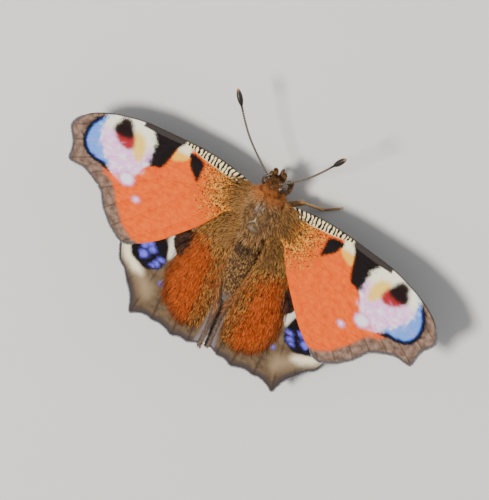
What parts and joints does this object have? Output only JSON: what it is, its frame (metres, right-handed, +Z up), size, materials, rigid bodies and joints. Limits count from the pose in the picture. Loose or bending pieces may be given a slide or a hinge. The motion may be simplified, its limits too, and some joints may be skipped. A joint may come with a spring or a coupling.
{
  "type": "peacock butterfly",
  "caption": "Life-size still model of a peacock butterfly basking on the ground with its eyespotted orange wings spread flat.",
  "frame": {"origin": "on the ground under the middle of the outline, wings and antennae included", "axes": "+Z up from the ground, -Y the way the head looks, +X towards the animal's left wing tips"},
  "size_m": [0.0636, 0.0416, 0.0119],
  "materials": {
    "fur": "matte",
    "wing": "matte",
    "hindwing": "matte",
    "eye": "gloss",
    "limb": "satin",
    "antenna": "satin"
  },
  "bodies": {
    "root": {"head": "fur", "thorax": "fur", "abdomen": "fur", "eye_left": "eye", "eye_right": "eye", "palp_left": "fur", "palp_right": "fur", "proboscis": "limb", "antenna_left": "antenna", "antenna_right": "antenna", "foreleg_left": "limb", "foreleg_right": "limb", "forewing_left": "wing", "forewing_right": "wing", "hindwing_left": "hindwing", "hindwing_right": "hindwing", "midleg_left_femur": "limb", "midleg_left_tibia": "limb", "midleg_left_tarsus": "limb", "midleg_right_femur": "limb", "midleg_right_tibia": "limb", "midleg_right_tarsus": "limb", "hindleg_left_femur": "limb", "hindleg_left_tibia": "limb", "hindleg_left_tarsus": "limb", "hindleg_right_femur": "limb", "hindleg_right_tibia": "limb", "hindleg_right_tarsus": "limb"}
  },
  "joints": []
}
